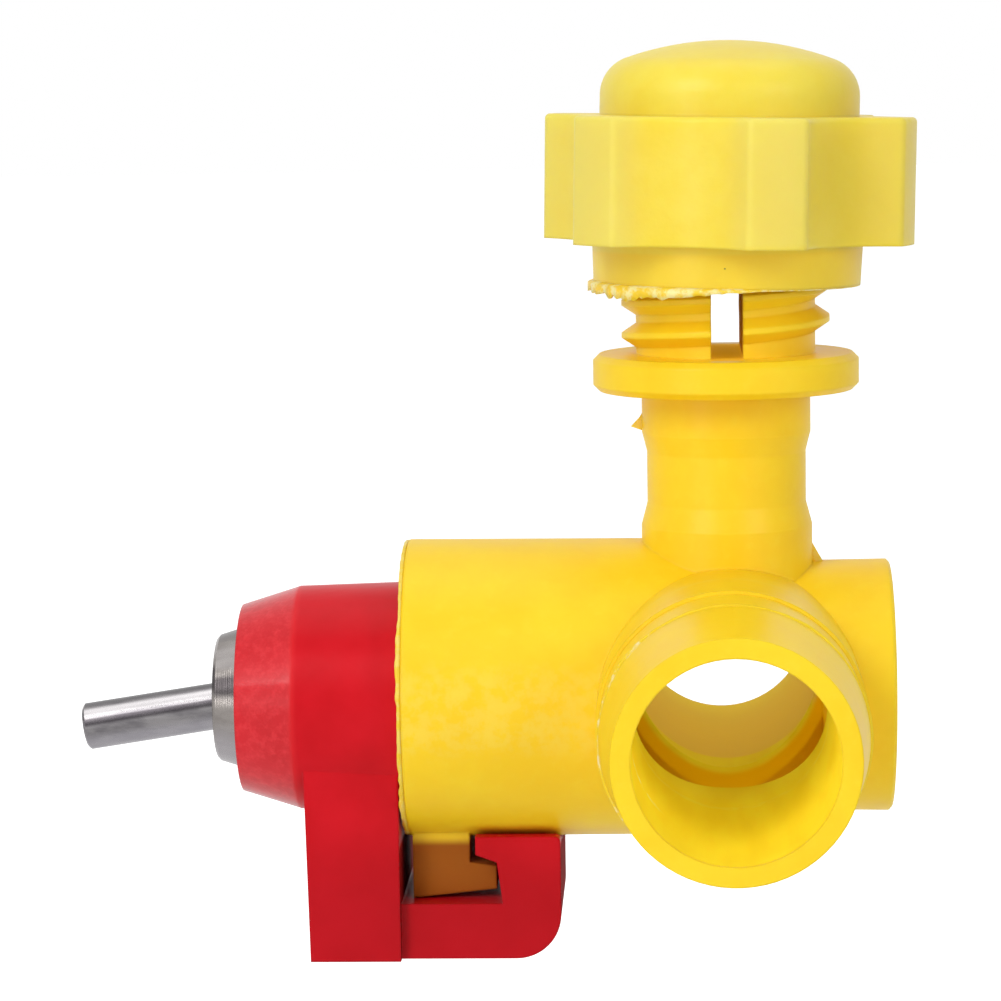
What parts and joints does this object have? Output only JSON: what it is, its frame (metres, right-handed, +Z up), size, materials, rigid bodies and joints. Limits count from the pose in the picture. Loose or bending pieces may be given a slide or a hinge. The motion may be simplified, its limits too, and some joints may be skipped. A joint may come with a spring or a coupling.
{
  "type": "poultry nipple drinker",
  "caption": "Nipple drinker for hens on a tee fitting: steel trigger pin in a clip-on nipple, branch tee with water line spigots, and a slotted wire clamp with a lobed knob.",
  "frame": {"origin": "where the water line axis, the nipple branch axis and the clamp stem axis meet", "axes": "+Z up along the clamp stem to the knob, -X along the branch to the trigger pin, Y along the water line"},
  "size_m": [0.0697, 0.0666, 0.0747],
  "materials": {
    "yellow_plastic": "satin",
    "pale_yellow_plastic": "satin, slightly translucent",
    "red_plastic": "gloss",
    "steel": "turned and polished",
    "rubber": "matt",
    "white_plastic": "matt"
  },
  "bodies": {
    "drinker": {"tee_body": "yellow_plastic", "nipple_housing": "red_plastic", "spigot_seal": "rubber", "valve_body": "steel", "valve_seal": "rubber", "seat_ring": "steel", "ball_cage": "white_plastic"},
    "knob": {"cap_nut": "pale_yellow_plastic"},
    "trigger": {"trigger_pin": "steel"},
    "ball": {"valve_ball": "steel"}
  },
  "joints": [
    {"name": "pin_tilt", "type": "hinge", "parent": "drinker", "child": "trigger", "pos_m": [-0.0381, 0, -0.00075], "axis": [0, 1, 0], "range_deg": [0, 17.2]},
    {"name": "ball_lift", "type": "slide", "parent": "drinker", "child": "ball", "axis": [1, 0, 0], "range_m": [0, 0.0009]},
    {"name": "knob_travel", "type": "slide", "parent": "drinker", "child": "knob", "axis": [0, 0, 1], "range_m": [-0.0053, 0.012]}
  ]
}
